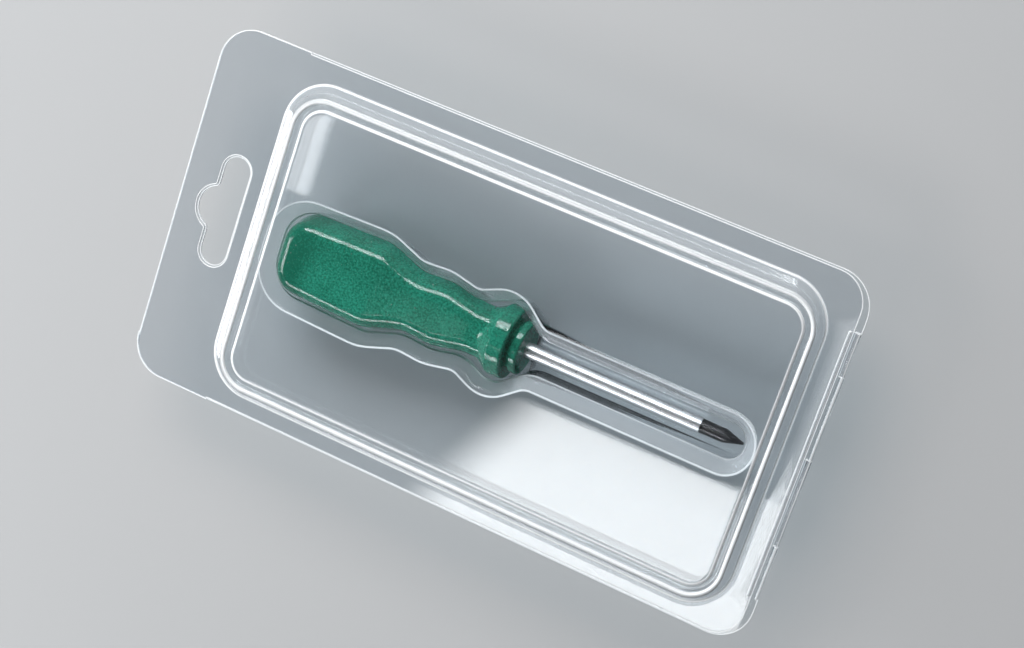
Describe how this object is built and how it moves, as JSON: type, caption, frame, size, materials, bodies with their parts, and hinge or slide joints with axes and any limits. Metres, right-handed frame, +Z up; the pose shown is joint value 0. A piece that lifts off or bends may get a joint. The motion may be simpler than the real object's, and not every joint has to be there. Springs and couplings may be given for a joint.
{
  "type": "plastic clamshell pack",
  "caption": "Clear hinged plastic pack with a raised rim, a hanging slot and a shaped cavity that holds a green-handled screwdriver.",
  "frame": {"origin": "centre of the bounding box's base, under the middle of the pack, on the table", "axes": "+X runs along the pack from the header with the hanging slot to the fold, +Y across it, +Z up through the lid's window"},
  "size_m": [0.19, 0.102, 0.0222],
  "materials": {
    "lid_plastic": "clear, glossy, finely scratched",
    "tray_plastic": "clear, glossy",
    "handle_plastic": "glossy moulded",
    "blade_steel": "bright drawn, with a blackened end"
  },
  "bodies": {
    "tray": {"back_tray": "tray_plastic", "driver_handle": "handle_plastic", "driver_blade": "blade_steel"},
    "lid": {"front_lid": "lid_plastic"}
  },
  "joints": [
    {"name": "lid_fold", "type": "hinge", "parent": "tray", "child": "lid", "pos_m": [0.09435, 0, 0.01617], "axis": [0, 1, 0], "range_deg": [0, 180]}
  ]
}
